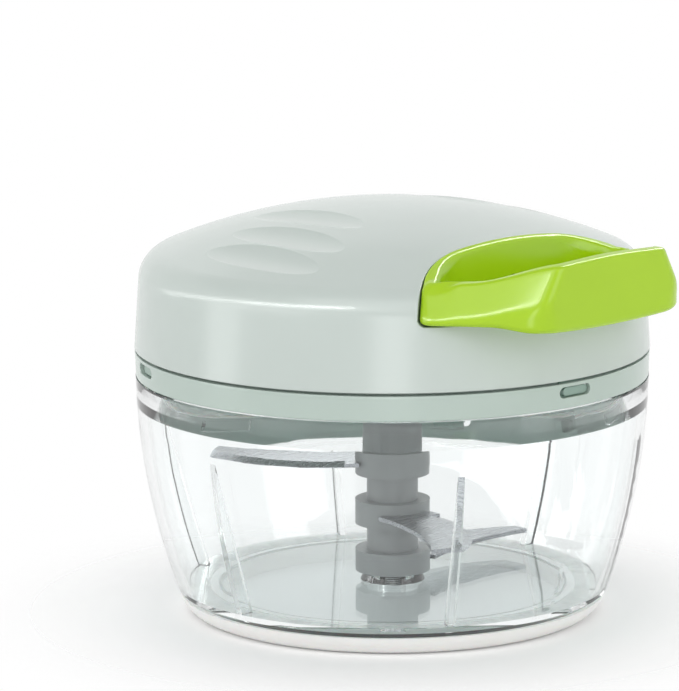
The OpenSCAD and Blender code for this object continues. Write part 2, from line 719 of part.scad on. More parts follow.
module blade(i) {
    low = blade_z[i] - blade_t / 2;
    color([0.78, 0.79, 0.81]) rotate(blade_angle[i]) translate([0, 0, low]) difference() {
        linear_extrude(blade_t) blade_plan();
        intersection() {
            translate([edge_at.x, edge_at.y, 0]) rotate_extrude($fn = big_fn) polygon([
                [edge_r - bevel_w, blade_t + press_gap], [edge_r + 1, blade_t + press_gap],
                [edge_r + 1, edge_t - blade_t / bevel_w], [edge_r, edge_t]]);
            translate([hub_r + 2, -far / 2, -1]) cube([far, far, far]);
        }
    }
}

module blade_spindle() {
    color([0.6, 0.6, 0.6]) difference() {
        union() {
            translate([0, 0, spindle_low_z]) cylinder(h = spindle_top_z - spindle_low_z, r = shank_r);
            translate([0, 0, blade_z[2]]) cylinder(h = spindle_top_z - blade_z[2], r = spindle_r);
            for (i = [0 : 2]) {
                low = max(spindle_low_z, blade_z[i] - hub_h / 2);
                translate([0, 0, low]) cylinder(h = blade_z[i] + hub_h / 2 - low, r = hub_r);
            }
        }
        translate([0, 0, spindle_low_z - lap])
            cylinder(h = pin_top_z + 1 - spindle_low_z, r = pin_r + running_fit);
        translate([0, 0, socket_z]) difference() {
            cylinder(h = far, r = socket_r);
            for (at = [90, 270])
                ring_part(dog_r, spindle_r, -lap, spindle_top_z - socket_z - 1, dog_angle, at);
        }
        for (i = [0 : 2]) rotate(blade_angle[i])
            translate([root_from, -root_w / 2 - root_shift, blade_z[i] - blade_t / 2] - [1, 1, 1] * root_gap)
                cube([hub_r, root_w + 2 * root_gap, blade_t + 2 * root_gap]);
    }
}

module upper_blade() { blade(2); }
module middle_blade() { blade(1); }
module lower_blade() { blade(0); }

module pivot_pin() {
    point = 0.8;
    color([0.75, 0.76, 0.78]) {
        translate([0, 0, pin_low_z]) cylinder(h = pin_top_z - point - pin_low_z, r = pin_r);
        translate([0, 0, pin_top_z - point]) cylinder(h = point, r1 = pin_r, r2 = pin_r - point);
    }
}

// Bowl side between the table and the shoulder, drawn in by a wall thickness
module bowl_profile(inset, low, high) {
    intersection() {
        translate([bowl_r - side_r, side_top_z]) circle(side_r - inset, $fn = big_fn * 2);
        translate([0, low]) square([bowl_r, high - low]);
    }
}

module bowl_rib() {
    rotate([90, 0, 0]) translate([0, 0, -rib_t / 2]) linear_extrude(rib_t) intersection() {
        bowl_profile(bowl_wall - lap, floor_z - lap, rib_top_z);
        polygon([[side_at(floor_z, bowl_wall) - rib_depth, floor_z - lap], [bowl_r, floor_z - lap],
            [bowl_r, rib_top_z], [side_at(rib_top_z, bowl_wall), rib_top_z]]);
    }
}

module bowl() {
    taper_z = bowl_h - 7;
    foot_edge = 1.4;
    color([0.85, 0.9, 0.92, 0.4]) {
        difference() {
            union() {
                rotate_extrude() difference() {
                    bowl_profile(0, foot_h, bowl_h);
                    polygon([[side_at(foot_h, 0) - foot_edge, foot_h], [bowl_r, foot_h],
                        [bowl_r, foot_h + foot_edge], [side_at(foot_h + foot_edge, 0), foot_h + foot_edge]]);
                }
                translate([0, 0, bowl_h - lap]) cylinder(h = neck_h + lap, r = neck_r);
            }
            rotate_extrude() {
                bowl_profile(bowl_wall, floor_z, taper_z);
                polygon([[0, taper_z - lap], [side_at(taper_z - lap, bowl_wall), taper_z - lap],
                    [side_at(taper_z, bowl_wall), taper_z], [neck_in_r, bowl_h - 0.5],
                    [neck_in_r, rim_z + 1], [0, rim_z + 1]]);
            }
            translate([0, 0, foot_h - lap])
                ring_slot(tongue_in_r - 0.1, tongue_in_r + tongue_w + 0.1, tongue_h + lap + 0.1);
            translate([0, 0, pin_low_z]) cylinder(h = far, r = pin_r + press_gap);
        }
        difference() {
            translate([0, 0, floor_z - lap]) cylinder(h = boss_h + lap, r1 = boss_r + 1, r2 = boss_r);
            translate([0, 0, pin_low_z]) cylinder(h = far, r = pin_r + press_gap);
        }
        for (i = [0 : rib_count - 1]) rotate((i + 0.5) * 360 / rib_count) bowl_rib();
        for (i = [0 : lug_count - 1])
            ring_part(neck_r - lap, skirt_in_r - 0.4, lug_top_z - lug_t, lug_t, lug_angle,
                lug_at + i * 360 / lug_count);
    }
}

// Foot ring: quarter-round outside, flat sole, and a tongue in a groove of the bowl
foot_round = foot_h + 1;
foot_out_r = bowl_foot_r - 0.8;
sole_out_r = foot_out_r - foot_round;
tongue_in_r = sole_out_r - foot_sole + 1;
tongue_w = 2;
tongue_h = 1.1;
module ring_slot(r_in, r_out, h) {
    difference() {
        cylinder(h = h, r = r_out);
        translate([0, 0, -lap]) cylinder(h = h + 2 * lap, r = r_in);
    }
}

module foot_ring() {
    color([0.96, 0.95, 0.93]) rotate_extrude() {
        intersection() {
            union() {
                translate([sole_out_r, foot_round]) circle(foot_round);
                translate([sole_out_r - foot_sole, 0]) square([foot_sole, foot_h]);
            }
            translate([sole_out_r - foot_sole, 0]) square([bowl_r, foot_h]);
        }
        translate([tongue_in_r, foot_h - lap]) square([tongue_w, tongue_h + lap]);
    }
}

lid_cover();
lid_base();
lid_gasket();
reel_axle();
thrust_washer();
cord_reel();
recoil_spring();
drive_plate();
drive_screws();
drive_bush();
drive_seal();
cord_eyelet();
pull_cord();
cord_knot();
pull_handle();
blade_spindle();
upper_blade();
middle_blade();
lower_blade();
pivot_pin();
bowl();
foot_ring();
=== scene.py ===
import math

import bmesh
import bpy
from mathutils import Matrix, Vector


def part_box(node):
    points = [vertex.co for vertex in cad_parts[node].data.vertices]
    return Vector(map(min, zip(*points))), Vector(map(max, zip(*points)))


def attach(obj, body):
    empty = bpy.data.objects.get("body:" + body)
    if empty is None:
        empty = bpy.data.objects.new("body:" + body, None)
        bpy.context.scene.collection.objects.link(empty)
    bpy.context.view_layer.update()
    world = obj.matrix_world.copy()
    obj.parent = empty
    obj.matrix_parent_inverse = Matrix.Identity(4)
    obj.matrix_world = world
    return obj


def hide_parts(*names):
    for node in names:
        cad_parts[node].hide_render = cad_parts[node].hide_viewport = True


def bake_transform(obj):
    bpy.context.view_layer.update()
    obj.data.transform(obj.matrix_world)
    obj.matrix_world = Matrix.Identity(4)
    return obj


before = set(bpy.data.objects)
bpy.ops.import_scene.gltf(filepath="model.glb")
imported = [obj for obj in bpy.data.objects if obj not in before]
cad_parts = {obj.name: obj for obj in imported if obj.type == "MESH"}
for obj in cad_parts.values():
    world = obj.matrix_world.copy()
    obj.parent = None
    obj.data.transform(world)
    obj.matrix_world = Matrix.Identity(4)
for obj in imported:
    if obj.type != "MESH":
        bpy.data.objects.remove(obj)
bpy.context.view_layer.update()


# Foot ring
# A soft ring of white thermoplastic rubber under the bowl, moulded in one piece. Its tongue is pressed into
# a groove of the bowl's floor, and its matt skin keeps the bowl from sliding.
MM = 0.001


def linear(hex_colour):
    """sRGB hex to the linear colour that a shader socket takes."""
    parts = [int(hex_colour[i:i + 2], 16) / 255 for i in (1, 3, 5)]
    return [p / 12.92 if p <= 0.04045 else ((p + 0.055) / 1.055) ** 2.4 for p in parts] + [1.0]


def add(tree, kind, **settings):
    """Add one node. A setting is a property or an input, in_N by number, and an output there is linked."""
    node = tree.nodes.new(kind)
    for key, value in settings.items():
        if key.startswith("in_"):
            socket = node.inputs[int(key[3:])]
        elif hasattr(node, key):
            setattr(node, key, value)
            continue
        else:
            socket = node.inputs[key.replace("_", " ")]
        if isinstance(value, bpy.types.NodeSocket):
            tree.links.new(value, socket)
        else:
            socket.default_value = value
    return node


def start(name):
    """An empty material and its node tree."""
    made = bpy.data.materials.new(name)
    made.use_nodes = True
    made.node_tree.nodes.clear()
    return made, made.node_tree


def dress(piece, made):
    """Put one material on a whole piece."""
    piece.data.materials.clear()
    piece.data.materials.append(made)


# White TPE, spark-eroded mould skin: matt, with a fine even grain and a little light going into it.
foot_grain_mm = 0.35
foot_cloud_mm = 14
foot_tpe, tree = start("tpe_white_matt_moulded")
place = add(tree, "ShaderNodeTexCoord")
grain = add(tree, "ShaderNodeTexNoise", Vector=place.outputs["Object"], Scale=1 / (foot_grain_mm * MM),
            Detail=3.0)
rough = add(tree, "ShaderNodeMapRange", Value=grain.outputs["Fac"], To_Min=0.42, To_Max=0.6)
dent = add(tree, "ShaderNodeBump", Height=grain.outputs["Fac"], Strength=0.15, Distance=0.03 * MM)
cloud = add(tree, "ShaderNodeTexNoise", Vector=place.outputs["Object"], Scale=1 / (foot_cloud_mm * MM),
            Detail=2.0)
shade = add(tree, "ShaderNodeMix", data_type="RGBA", Factor=cloud.outputs["Fac"], in_6=linear("#FAF9F6"),
            in_7=linear("#FEFDFB"))
skin = add(tree, "ShaderNodeBsdfPrincipled", Base_Color=shade.outputs[2], Roughness=rough.outputs[0],
           IOR=1.48, Subsurface_Weight=0.1, Subsurface_Scale=1.5 * MM, Normal=dent.outputs[0])
add(tree, "ShaderNodeOutputMaterial", Surface=skin.outputs[0])
dress(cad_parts["foot_ring"], foot_tpe)


# Bowl
# A deep bowl of clear SAN, injection moulded, with six upright ribs inside, a centre boss for the pivot pin
# and three lock lugs on its neck. The wall is polished on both sides.

# Clear SAN: nearly colourless, glossy, with faint flow waves from the mould and hair-fine handling marks.
flow_mm = 9
mark_mm = 1.2
bowl_san, tree = start("san_clear_polished")
place = add(tree, "ShaderNodeTexCoord")
flow = add(tree, "ShaderNodeTexNoise", Vector=place.outputs["Object"], Scale=1 / (flow_mm * MM), Detail=1.0)
wave = add(tree, "ShaderNodeBump", Height=flow.outputs["Fac"], Strength=0.04, Distance=0.1 * MM)
marks = add(tree, "ShaderNodeTexNoise", Vector=place.outputs["Object"], Scale=1 / (mark_mm * MM), Detail=4.0)
rough = add(tree, "ShaderNodeMapRange", Value=marks.outputs["Fac"], From_Min=0.45, From_Max=0.8, To_Min=0.0,
            To_Max=0.05)
skin = add(tree, "ShaderNodeBsdfPrincipled", Base_Color=linear("#FBFDFD"), Roughness=rough.outputs[0],
           IOR=1.57, Transmission_Weight=1.0, Normal=wave.outputs[0])
# Lamps and bounced light go straight through the wall, so that what stands in the bowl is lit.
ray = add(tree, "ShaderNodeLightPath")
passing = add(tree, "ShaderNodeMath", operation="MAXIMUM", in_0=ray.outputs["Is Shadow Ray"],
              in_1=ray.outputs["Is Diffuse Ray"])
open_wall = add(tree, "ShaderNodeBsdfTransparent", Color=linear("#F4F7F7"))
wall = add(tree, "ShaderNodeMixShader", in_0=passing.outputs[0], in_1=skin.outputs[0],
           in_2=open_wall.outputs[0])
add(tree, "ShaderNodeOutputMaterial", Surface=wall.outputs[0])
dress(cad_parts["bowl"], bowl_san)


# Pivot pin
# A turned stainless pin with a small point, pressed into the boss of the bowl's floor. The blade spindle
# turns on it.

# Turned stainless steel: bright, with fine rings round the axis where the tool passed. The bands of Blender's
# wave texture are 0.314 apart at a scale of 1.
ring_mm = 0.5
wave_span = 0.314
pin_steel, tree = start("stainless_turned")
place = add(tree, "ShaderNodeTexCoord")
rings = add(tree, "ShaderNodeTexWave", Vector=place.outputs["Object"], wave_type="BANDS", bands_direction="Z",
            Scale=wave_span / (ring_mm * MM), Distortion=0.6, Detail=2.0)
rough = add(tree, "ShaderNodeMapRange", Value=rings.outputs["Fac"], To_Min=0.18, To_Max=0.32)
cut = add(tree, "ShaderNodeBump", Height=rings.outputs["Fac"], Strength=0.2, Distance=0.01 * MM)
skin = add(tree, "ShaderNodeBsdfPrincipled", Base_Color=linear("#C9CBCD"), Metallic=1.0,
           Roughness=rough.outputs[0], Normal=cut.outputs[0])
add(tree, "ShaderNodeOutputMaterial", Surface=skin.outputs[0])
dress(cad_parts["pivot_pin"], pin_steel)


# Blade spindle
# A grey polypropylene shaft with three hubs that the blades are moulded into, a bore for the pivot pin, and a
# socket with two dogs on top that the lid's tang drives.

# Polypropylene, fine-matt mould: even mid grey with a soft sheen and a slight cloudiness of the pigment.
spindle_cloud_mm = 6
spindle_grain_mm = 0.4
spindle_pp, tree = start("polypropylene_grey_moulded")
place = add(tree, "ShaderNodeTexCoord")
cloud = add(tree, "ShaderNodeTexNoise", Vector=place.outputs["Object"], Scale=1 / (spindle_cloud_mm * MM),
            Detail=3.0)
shade = add(tree, "ShaderNodeMix", data_type="RGBA", Factor=cloud.outputs["Fac"], in_6=linear("#8B8D8E"),
            in_7=linear("#9A9C9D"))
grain = add(tree, "ShaderNodeTexNoise", Vector=place.outputs["Object"], Scale=1 / (spindle_grain_mm * MM),
            Detail=2.0)
rough = add(tree, "ShaderNodeMapRange", Value=grain.outputs["Fac"], To_Min=0.38, To_Max=0.5)
dent = add(tree, "ShaderNodeBump", Height=grain.outputs["Fac"], Strength=0.1, Distance=0.02 * MM)
skin = add(tree, "ShaderNodeBsdfPrincipled", Base_Color=shade.outputs[2], Roughness=rough.outputs[0],
           IOR=1.49, Normal=dent.outputs[0])
add(tree, "ShaderNodeOutputMaterial", Surface=skin.outputs[0])
dress(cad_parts["blade_spindle"], spindle_pp)


# Blades
# Three sickle blades punched from stainless strip, ground to an edge on one side and moulded into the hubs of
# the spindle, each turned by a third of a round.

# Ground stainless: mid grey, with straight grinding lines across the blade. The lines are drawn coarser than
# the real 0.05 mm grit so that they show, and are many times longer than wide.
line_mm = 0.35
line_long = 25
lower_turn, blade_step = 100, 120
for step, name in enumerate(("lower_blade", "middle_blade", "upper_blade")):
    blade_turn = math.radians(lower_turn - step * blade_step)
    blade_steel, tree = start("stainless_ground_" + name)
    place = add(tree, "ShaderNodeTexCoord")
    turned = add(tree, "ShaderNodeMapping", Vector=place.outputs["Object"], Rotation=(0, 0, -blade_turn),
                 Scale=(1, 1 / line_long, 1))
    lines = add(tree, "ShaderNodeTexNoise", Vector=turned.outputs[0], Scale=1 / (line_mm * MM), Detail=4.0)
    rough = add(tree, "ShaderNodeMapRange", Value=lines.outputs["Fac"], To_Min=0.16, To_Max=0.38)
    shade = add(tree, "ShaderNodeMix", data_type="RGBA", Factor=lines.outputs["Fac"], in_6=linear("#7E8287"),
                in_7=linear("#A8ABAF"))
    scratch = add(tree, "ShaderNodeBump", Height=lines.outputs["Fac"], Strength=0.12, Distance=0.01 * MM)
    skin = add(tree, "ShaderNodeBsdfPrincipled", Base_Color=shade.outputs[2], Metallic=1.0,
               Roughness=rough.outputs[0], Normal=scratch.outputs[0])
    add(tree, "ShaderNodeOutputMaterial", Surface=skin.outputs[0])
    dress(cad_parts[name], blade_steel)


# Gasket and drive seal
# Two rings of milky silicone: one in a groove of the lid base that rests on the bowl's rim, and a small lip
# ring that keeps juice out of the bearing.

# Silicone rubber, compression moulded: soft white, half see-through at its edges, with a dull even skin.
bloom_mm = 3
ring_silicone, tree = start("silicone_milky_moulded")
place = add(tree, "ShaderNodeTexCoord")
bloom = add(tree, "ShaderNodeTexNoise", Vector=place.outputs["Object"], Scale=1 / (bloom_mm * MM), Detail=3.0)
shade = add(tree, "ShaderNodeMix", data_type="RGBA", Factor=bloom.outputs["Fac"], in_6=linear("#E4E5E1"),
            in_7=linear("#F0F0EC"))
rough = add(tree, "ShaderNodeMapRange", Value=bloom.outputs["Fac"], To_Min=0.4, To_Max=0.55)
skin = add(tree, "ShaderNodeBsdfPrincipled", Base_Color=shade.outputs[2], Roughness=rough.outputs[0],
           IOR=1.41, Subsurface_Weight=0.25, Subsurface_Scale=2 * MM)
add(tree, "ShaderNodeOutputMaterial", Surface=skin.outputs[0])
for name in ("lid_gasket", "drive_seal"):
    dress(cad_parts[name], ring_silicone)


# Lid base
# The skirt ring and the plate that closes the lid below, one moulding of sage ABS. Three windows in the skirt
# catch the cover's hooks, and ledges inside it turn under the bowl's lugs.
def soft_edges(made, radius_mm):
    """Round the sharp corners of a moulding in its shading, as a mould's own small radii do."""
    tree = made.node_tree
    shader = next(n for n in tree.nodes if n.bl_idname == "ShaderNodeBsdfPrincipled")
    bevel = add(tree, "ShaderNodeBevel", samples=6, Radius=radius_mm * MM)
    if shader.inputs["Normal"].links:
        dent = shader.inputs["Normal"].links[0].from_node
        tree.links.new(bevel.outputs[0], dent.inputs["Normal"])
    else:
        tree.links.new(bevel.outputs[0], shader.inputs["Normal"])


# ABS, satin mould: a soft broad shine, a very fine grain and a faint drift in the colour.
base_drift_mm = 22
base_grain_mm = 0.3
base_abs, tree = start("abs_sage_satin_moulded")
place = add(tree, "ShaderNodeTexCoord")
drift = add(tree, "ShaderNodeTexNoise", Vector=place.outputs["Object"], Scale=1 / (base_drift_mm * MM),
            Detail=2.0)
shade = add(tree, "ShaderNodeMix", data_type="RGBA", Factor=drift.outputs["Fac"], in_6=linear("#B6C5BD"),
            in_7=linear("#BBCAC2"))
grain = add(tree, "ShaderNodeTexNoise", Vector=place.outputs["Object"], Scale=1 / (base_grain_mm * MM),
            Detail=2.0)
rough = add(tree, "ShaderNodeMapRange", Value=grain.outputs["Fac"], To_Min=0.18, To_Max=0.22)
dent = add(tree, "ShaderNodeBump", Height=grain.outputs["Fac"], Strength=0.06, Distance=0.02 * MM)
skin = add(tree, "ShaderNodeBsdfPrincipled", Base_Color=shade.outputs[2], Roughness=rough.outputs[0],
           IOR=1.53, Normal=dent.outputs[0])
add(tree, "ShaderNodeOutputMaterial", Surface=skin.outputs[0])
soft_edges(base_abs, radius_mm=0.3)
dress(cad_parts["lid_base"], base_abs)


# Reel, drive plate, bush and washer
# The turning parts in the lid: a cord reel with a spring chamber, the plate with the driving tang that closes
# it, and the bush and washer that they run on. All are moulded from natural acetal.

# Acetal: opaque waxy white with a low sheen and faint swirls from the gate.
swirl_mm = 8
inner_pom, tree = start("acetal_natural_moulded")
place = add(tree, "ShaderNodeTexCoord")
swirl = add(tree, "ShaderNodeTexNoise", Vector=place.outputs["Object"], Scale=1 / (swirl_mm * MM), Detail=3.0,
            Distortion=1.2)
shade = add(tree, "ShaderNodeMix", data_type="RGBA", Factor=swirl.outputs["Fac"], in_6=linear("#E6E5DF"),
            in_7=linear("#F2F1EC"))
rough = add(tree, "ShaderNodeMapRange", Value=swirl.outputs["Fac"], To_Min=0.3, To_Max=0.42)
skin = add(tree, "ShaderNodeBsdfPrincipled", Base_Color=shade.outputs[2], Roughness=rough.outputs[0],
           IOR=1.48, Subsurface_Weight=0.08, Subsurface_Scale=1 * MM)
add(tree, "ShaderNodeOutputMaterial", Surface=skin.outputs[0])
soft_edges(inner_pom, radius_mm=0.25)
for name in ("cord_reel", "drive_plate", "drive_bush", "thrust_washer"):
    dress(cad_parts[name], inner_pom)


# Axle, screws and eyelet
# The fixed axle with its spring arbor, three cross-slotted screws that hold the drive plate to the reel, and
# the smooth eyelet in the pocket's wall. They are turned steel, like the pivot pin.
for name in ("reel_axle", "drive_screws", "cord_eyelet"):
    dress(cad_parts[name], pin_steel)


# Recoil spring
# A flat spiral of hardened strip in the reel's chamber, fixed to the arbor at its inner end and to the
# chamber's wall at its outer end. The strip is rolled, so its edges are round.
def quarter(cx, cy, rx, ry, first, steps):
    """A quarter of an ellipse from an angle in degrees."""
    angles = [math.radians(first + 90 * i / steps) for i in range(steps + 1)]
    return [(cx + rx * math.cos(a), cy + ry * math.sin(a)) for a in angles]


def into_scene(name, mesh):
    """An object in the scene from a finished mesh."""
    data = bpy.data.meshes.new(name)
    mesh.to_mesh(data)
    mesh.free()
    piece = bpy.data.objects.new(name, data)
    bpy.context.scene.collection.objects.link(piece)
    return piece


def loft(name, rings, closed=False, along=None, girth=0.0):
    """A skin over rings, closed or capped. The rings' places along it, in metres, give it a UV map."""
    mesh = bmesh.new()
    weave = mesh.loops.layers.uv.new("braid") if along else None
    rows = [[mesh.verts.new(p) for p in ring] for ring in rings]
    sides = len(rings[0])
    for i in range(len(rows) if closed else len(rows) - 1):
        after = (i + 1) % len(rows)
        for k in range(sides):
            beside = (k + 1) % sides
            face = mesh.faces.new((rows[i][k], rows[i][beside], rows[after][beside], rows[after][k]))
            face.smooth = True
            if along:
                for loop, (row, turn) in zip(face.loops, ((i, k), (i, k + 1), (after, k + 1), (after, k))):
                    loop[weave].uv = (girth * turn / sides, along[row])
    if not closed:
        mesh.faces.new(rows[0])
        mesh.faces.new(rows[-1])
    bmesh.ops.recalc_face_normals(mesh, faces=mesh.faces)
    return into_scene(name, mesh)


spring_turns = 7
spring_steps = 72
spring_in_r, spring_out_r = 6.1, 25.8
strip_t, strip_round = 0.5, 0.2
strip_round_steps = 4
strip_low, strip_high = (corner[2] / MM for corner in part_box("recoil_spring"))
near, far = strip_round, strip_t - strip_round
low, high = strip_low + strip_round, strip_high - strip_round
strip_edge = []
for first, out, z in ((-90, far, low), (0, far, high), (90, near, high), (180, near, low)):
    strip_edge += quarter(out, z, strip_round, strip_round, first, strip_round_steps)
strip_rings = []
for i in range(spring_steps * spring_turns + 1):
    turn = 2 * math.pi * i / spring_steps
    r = spring_in_r + (spring_out_r - spring_in_r) * i / (spring_steps * spring_turns)
    strip_rings.append([Vector(((r + out) * math.cos(turn), (r + out) * math.sin(turn), z)) * MM
                        for out, z in strip_edge])
strip = loft("spring_strip_coiled", strip_rings)

# Blued spring steel: dark blue-grey, with streaks of straw where the temper colour drifts.
temper_mm = 5
spring_steel, tree = start("spring_steel_blued")
place = add(tree, "ShaderNodeTexCoord")
temper = add(tree, "ShaderNodeTexNoise", Vector=place.outputs["Object"], Scale=1 / (temper_mm * MM),
             Detail=3.0)
shade = add(tree, "ShaderNodeMix", data_type="RGBA", Factor=temper.outputs["Fac"], in_6=linear("#5F6B7C"),
            in_7=linear("#8E8B82"))
rough = add(tree, "ShaderNodeMapRange", Value=temper.outputs["Fac"], To_Min=0.22, To_Max=0.38)
skin = add(tree, "ShaderNodeBsdfPrincipled", Base_Color=shade.outputs[2], Metallic=1.0,
           Roughness=rough.outputs[0])
add(tree, "ShaderNodeOutputMaterial", Surface=skin.outputs[0])
dress(strip, spring_steel)
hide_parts("recoil_spring")
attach(strip, "lid")


# Lid cover
# The domed shell over the reel, moulded in pale sage ABS, with finger grooves on both sides, a pocket for the
# handle and three hooks that snap into the skirt's windows.

# ABS, satin mould, a lighter batch than the base. Below the seam the hooks are painted darker: painted shade
# for the shadow that they sit in inside their windows.
hook_top_z = 64.5
cover_abs = base_abs.copy()
cover_abs.name = "abs_pale_sage_satin_moulded"
tree = cover_abs.node_tree
skin = next(n for n in tree.nodes if n.bl_idname == "ShaderNodeBsdfPrincipled")
shade = skin.inputs["Base Color"].links[0].from_node
shade.inputs[6].default_value = linear("#C2CCC7")
shade.inputs[7].default_value = linear("#C7D1CC")
place = add(tree, "ShaderNodeTexCoord")
level = add(tree, "ShaderNodeSeparateXYZ", Vector=place.outputs["Object"])
window_shade_mask = add(tree, "ShaderNodeMath", operation="LESS_THAN", in_0=level.outputs["Z"], in_1=hook_top_z * MM)
# Painted shade: below the hooks' top the cover's colour is swapped for a darker green.
hook_painted_shade = add(tree, "ShaderNodeMix", data_type="RGBA", Factor=window_shade_mask.outputs[0], in_6=shade.outputs[2],
             in_7=linear("#8FA89C"))
tree.links.new(hook_painted_shade.outputs[2], skin.inputs["Base Color"])
dress(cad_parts["lid_cover"], cover_abs)


# Pull cord
# A braided polyester cord, wound on the reel's drum. It runs over the eyelet's lip and through the back wall
# of the handle, where a knot holds it.
def tube(name, path, radius, sides):
    """A capped tube along a path, with the path's length along V and the girth along U."""
    upright = 0.05
    rings, along = [], [0.0]
    for i, point in enumerate(path):
        ahead = (path[min(i + 1, len(path) - 1)] - path[max(i - 1, 0)]).normalized()
        side = Vector((0, 0, 1)).cross(ahead)
        if side.length <= upright:
            side = Vector((1, 0, 0)).cross(ahead)
        side.normalize()
        up = ahead.cross(side)
        turns = [2 * math.pi * k / sides for k in range(sides)]
        rings.append([point + radius * (side * math.cos(turn) + up * math.sin(turn)) for turn in turns])
        if i:
            along.append(along[-1] + (point - path[i - 1]).length)
    return loft(name, rings, along=along, girth=2 * math.pi * radius)


# Polyester braid: white strands that cross at about 45 degrees, with a soft fuzz. Strands are 0.5 mm wide.
strand_mm = 0.5
strand_lean = math.radians(45)
cord_braid, tree = start("polyester_braid_white")
place = add(tree, "ShaderNodeTexCoord")
strands = []
for lean in (strand_lean, -strand_lean):
    turned = add(tree, "ShaderNodeMapping", Vector=place.outputs["UV"], Rotation=(0, 0, lean))
    strands.append(add(tree, "ShaderNodeTexWave", Vector=turned.outputs[0], wave_type="BANDS",
                       bands_direction="X", Scale=wave_span / (strand_mm * MM)))
weave = add(tree, "ShaderNodeMath", operation="MAXIMUM", in_0=strands[0].outputs["Fac"],
            in_1=strands[1].outputs["Fac"])
lift = add(tree, "ShaderNodeBump", Height=weave.outputs[0], Strength=0.6, Distance=0.12 * MM)
# Painted shade: the grooves between the strands are drawn greyer than the strands' tops.
shade = add(tree, "ShaderNodeMix", data_type="RGBA", Factor=weave.outputs[0], in_6=linear("#CFCFC9"),
            in_7=linear("#F4F4F0"))
skin = add(tree, "ShaderNodeBsdfPrincipled", Base_Color=shade.outputs[2], Roughness=0.75, Sheen_Weight=0.3,
           Normal=lift.outputs[0])
add(tree, "ShaderNodeOutputMaterial", Surface=skin.outputs[0])

# The winding lies in turns down the drum, from where the cord leaves it for the eyelet's lip.
cord_r = 0.9
cord_sides = 16
cord_z = 84.18
wind_r = 20.1
wind_pitch = 2.3
turn_steps = 48
wind_steps = 148
bend_x = 32.9
leave = -math.acos(wind_r / bend_x)
winding_path = []
for i in range(wind_steps + 1):
    turn = leave - 2 * math.pi * i / turn_steps
    z = cord_z - wind_pitch * i / turn_steps
    winding_path.append(Vector((wind_r * math.cos(turn), wind_r * math.sin(turn), z)) * MM)
winding = tube("cord_winding", winding_path, cord_r * MM, cord_sides)
dress(winding, cord_braid)
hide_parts("pull_cord")
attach(winding, "reel")

# The lead goes straight from the drum, and bends over the lip of the eyelet to the pocket's back wall.
pocket_back = 36.5
lead_steps = 24
bend_from = 0.85
tangent = Vector((wind_r * math.cos(leave), wind_r * math.sin(leave), cord_z))
lip = Vector((bend_x, 0, cord_z))
outlet = Vector((pocket_back, 0, cord_z))
lead_path = []
for i in range(lead_steps + 1):
    share = i / lead_steps
    bent = max(0.0, (share - bend_from) / (1 - bend_from))
    lead_path.append(tangent.lerp(lip, share).lerp(lip.lerp(outlet, share), bent) * MM)
lead = tube("cord_lead", lead_path, cord_r * MM, cord_sides)
dress(lead, cord_braid)
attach(lead, "lid")

# The run goes from the pocket's wall into the knot. On the real cord this run gets longer as the handle is
# pulled.
knot_x = 38.3
knot_bite = 0.3
run_steps = 16
into_knot = Vector((knot_x + knot_bite, 0, cord_z))
run_path = [outlet.lerp(into_knot, i / run_steps) * MM for i in range(run_steps + 1)]
run = tube("cord_run", run_path, cord_r * MM, cord_sides)
dress(run, cord_braid)
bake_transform(run)

# The knot is a tight overhand knot of the same cord, drawn as a trefoil that fills the recess in the wall.
knot_mid = knot_x + 1.05
knot_deep, knot_lobe = 0.42, 0.5
knot_cord_r = 0.62
knot_sides = 12
knot_steps = 60
knot_path = []
for i in range(knot_steps + 1):
    turn = 2 * math.pi * i / knot_steps
    knot_path.append(Vector((knot_mid + knot_deep * math.sin(3 * turn),
                             knot_lobe * (math.sin(turn) + 2 * math.sin(2 * turn)),
                             cord_z + knot_lobe * (math.cos(turn) - 2 * math.cos(2 * turn)))) * MM)
knot = tube("cord_knot_tied", knot_path, knot_cord_r * MM, knot_sides)
dress(knot, cord_braid)
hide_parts("cord_knot")
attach(knot, "handle")


# Pull handle
# A loop of glossy lime ABS that fills the lid's pocket. Its back rim follows the dome, its ends are rounded
# over, and its front panel rises and leans in at the sides so that fingers can hook behind it.

# The lid's outside, which the rim follows, and the pocket that the loop sits in.
lid_r = 61.9
lid_top_z = 99.4
dome_r = 146.8
dome_z = lid_top_z - dome_r
shoulder_r = 7.7
wall_lean = 1.1
wall_top_r = lid_r - wall_lean
fillet_at_r = wall_top_r - shoulder_r
fillet_z = dome_z + math.sqrt((dome_r - shoulder_r) ** 2 - fillet_at_r ** 2)
pocket_half = 24.8
pocket_slant = math.radians(55)
handle_gap = 0.3
back = pocket_back + handle_gap
half = pocket_half - handle_gap * math.tan((math.pi / 2 - pocket_slant) / 2)

# The loop seen from above: the grip's width and thickness, the slanted ends and the back wall, each at the
# bottom and at the top, and the rounds of the corners.
handle_reach = 9.6
front_x = lid_r + handle_reach
grip_w, grip_top_w, grip_t, grip_top_t = 46.4, 36, 4.2, 2.6
end_run, end_top_run, end_t, in_run = 18.5, 13.6, 3.5, 10.3
back_t, back_top_t = 3.5, 1.8
back_round, end_round, end_top_round = 32, 3, 1.8
in_back_round, in_end_round = 20, 2
low_corner_r, crease_r, top_corner_r = 9, 4.5, 3.5
in_low_corner_r, in_top_corner_r = low_corner_r - 2, top_corner_r - 1

# The bar from its bottom to its top: its heights, its rounded edges and the most of the width that they may
# take, the dish inside the rim's ends, and the lean above the crease.
handle_z, rim_h, front_rise, arch, front_dip, belly = 80.4, 9.7, 4.6, 0.8, 1.2, 0.8
rim_in_proud, rim_out_proud, bar_fall = 0.2, 0.5, 0.4
edge_round, top_round, nose_round, dish_w, dish_h = 1.5, 0.7, 1, 1.5, 3
out_round_most, in_round_most = 0.4, 0.6
lean_low, lean_more, lean_soft = 0.18, 0.18, 0.15
crease_from, crease_over = 0.2, 0.4

